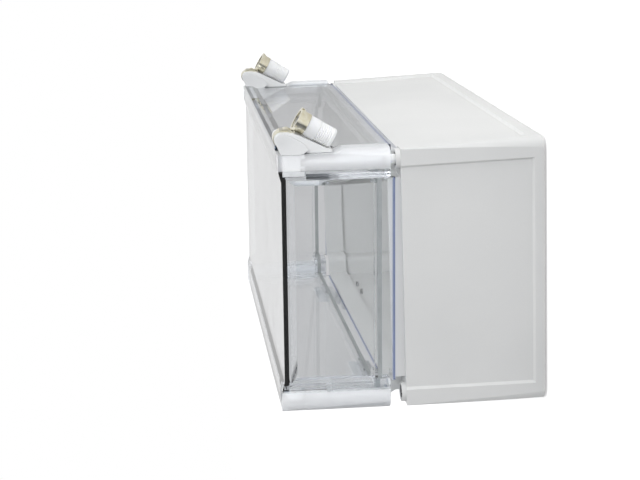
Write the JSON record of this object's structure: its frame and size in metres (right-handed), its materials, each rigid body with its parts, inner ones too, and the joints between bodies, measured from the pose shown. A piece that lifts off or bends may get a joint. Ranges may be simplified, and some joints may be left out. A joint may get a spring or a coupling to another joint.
{
  "type": "hinged polycarbonate enclosure",
  "caption": "Wall-mount box with an opaque tray and a deep clear hinged lid, closed by lever latches with lock barrels.",
  "frame": {"origin": "centre of the back, on the face that lies on the wall", "axes": "+X along the length, +Y towards the latches, +Z out of the wall through the window"},
  "size_m": [0.38, 0.2245, 0.1893],
  "materials": {
    "tray_polycarbonate": "light grey moulded polycarbonate, fine matt grain",
    "clear_polycarbonate": "clear polycarbonate, glossy, faint blue-grey tint at the edges",
    "latch_plastic": "light grey polyamide, satin",
    "yellow_zinc_steel": "steel, zinc plated and yellow passivated",
    "plain_steel": "stainless steel, turned",
    "white_nylon": "natural white nylon, slightly translucent",
    "brass": "turned brass",
    "seal_rubber": "moulded elastomer, matt"
  },
  "bodies": {
    "base": {"base_shell": "tray_polycarbonate", "catch_rings": "plain_steel", "mounting_inserts": "brass", "hinge_leaf_base_near": "latch_plastic", "hinge_leaf_base_far": "latch_plastic", "hinge_pin_near": "plain_steel", "hinge_pin_far": "plain_steel", "base_leaf_screws": "plain_steel"},
    "lid": {"lid_shell": "clear_polycarbonate", "lid_gasket": "seal_rubber", "latch_bracket_near": "latch_plastic", "latch_bracket_far": "latch_plastic", "latch_pin_near": "latch_plastic", "latch_pin_far": "latch_plastic", "hinge_leaf_lid_near": "latch_plastic", "hinge_leaf_lid_far": "latch_plastic", "lid_leaf_screws": "plain_steel"},
    "lever_near": {"latch_lever_near": "latch_plastic"},
    "lock_near": {"lock_strap_near": "yellow_zinc_steel", "lock_collar_near": "yellow_zinc_steel", "lock_barrel_near": "white_nylon"},
    "core_near": {"lock_core_near": "plain_steel"},
    "rod_near": {"draw_rod_near": "white_nylon", "rod_seal_near": "seal_rubber"},
    "sleeve_near": {"screw_sleeve_near": "seal_rubber"},
    "screw_near": {"closing_screw_near": "latch_plastic"},
    "lever_far": {"latch_lever_far": "latch_plastic"},
    "lock_far": {"lock_strap_far": "yellow_zinc_steel", "lock_collar_far": "yellow_zinc_steel", "lock_barrel_far": "white_nylon"},
    "core_far": {"lock_core_far": "plain_steel"},
    "rod_far": {"draw_rod_far": "white_nylon", "rod_seal_far": "seal_rubber"},
    "sleeve_far": {"screw_sleeve_far": "seal_rubber"},
    "screw_far": {"closing_screw_far": "latch_plastic"}
  },
  "joints": [
    {"name": "lid_hinge", "type": "hinge", "parent": "base", "child": "lid", "pos_m": [0, -0.0985, 0.1052], "axis": [1, 0, 0], "range_deg": [0, 110]},
    {"name": "latch_near", "type": "hinge", "parent": "lid", "child": "lever_near", "pos_m": [0.1753, 0.10182, 0.18157], "axis": [1, 0, 0], "range_deg": [0, 120]},
    {"name": "lock_swing_near", "type": "hinge", "parent": "lever_near", "child": "lock_near", "pos_m": [0.1753, 0.10182, 0.18157], "axis": [1, 0, 0], "range_deg": [0, 45]},
    {"name": "core_turn_near", "type": "hinge", "parent": "lock_near", "child": "core_near", "pos_m": [0.1753, 0.11015, 0.16345], "axis": [0, -0.5299, -0.848], "range_deg": [0, 90]},
    {"name": "rod_slide_near", "type": "slide", "parent": "lid", "child": "rod_near", "axis": [0, 0.0262, 0.9997], "range_m": [0, 0.005]},
    {"name": "screw_push_near", "type": "slide", "parent": "lid", "child": "sleeve_near", "axis": [0, -0.0262, -0.9997], "range_m": [0, 0.013]},
    {"name": "screw_turn_near", "type": "hinge", "parent": "sleeve_near", "child": "screw_near", "pos_m": [0.18, -0.08224, 0.17408], "axis": [0, -0.0262, -0.9997], "range_deg": [0, 90]},
    {"name": "latch_far", "type": "hinge", "parent": "lid", "child": "lever_far", "pos_m": [-0.1753, 0.10182, 0.18157], "axis": [1, 0, 0], "range_deg": [0, 120]},
    {"name": "lock_swing_far", "type": "hinge", "parent": "lever_far", "child": "lock_far", "pos_m": [-0.1753, 0.10182, 0.18157], "axis": [1, 0, 0], "range_deg": [0, 45]},
    {"name": "core_turn_far", "type": "hinge", "parent": "lock_far", "child": "core_far", "pos_m": [-0.1753, 0.11015, 0.16345], "axis": [0, -0.5299, -0.848], "range_deg": [0, 90]},
    {"name": "rod_slide_far", "type": "slide", "parent": "lid", "child": "rod_far", "axis": [0, 0.0262, 0.9997], "range_m": [0, 0.005]},
    {"name": "screw_push_far", "type": "slide", "parent": "lid", "child": "sleeve_far", "axis": [0, -0.0262, -0.9997], "range_m": [0, 0.013]},
    {"name": "screw_turn_far", "type": "hinge", "parent": "sleeve_far", "child": "screw_far", "pos_m": [-0.18, -0.08224, 0.17408], "axis": [0, -0.0262, -0.9997], "range_deg": [0, 90]}
  ],
  "couplings": [
    {"joint": "rod_slide_near", "follows": "latch_near", "m_per_rad": 0.0023873},
    {"joint": "rod_slide_far", "follows": "latch_far", "m_per_rad": 0.0023873}
  ]
}
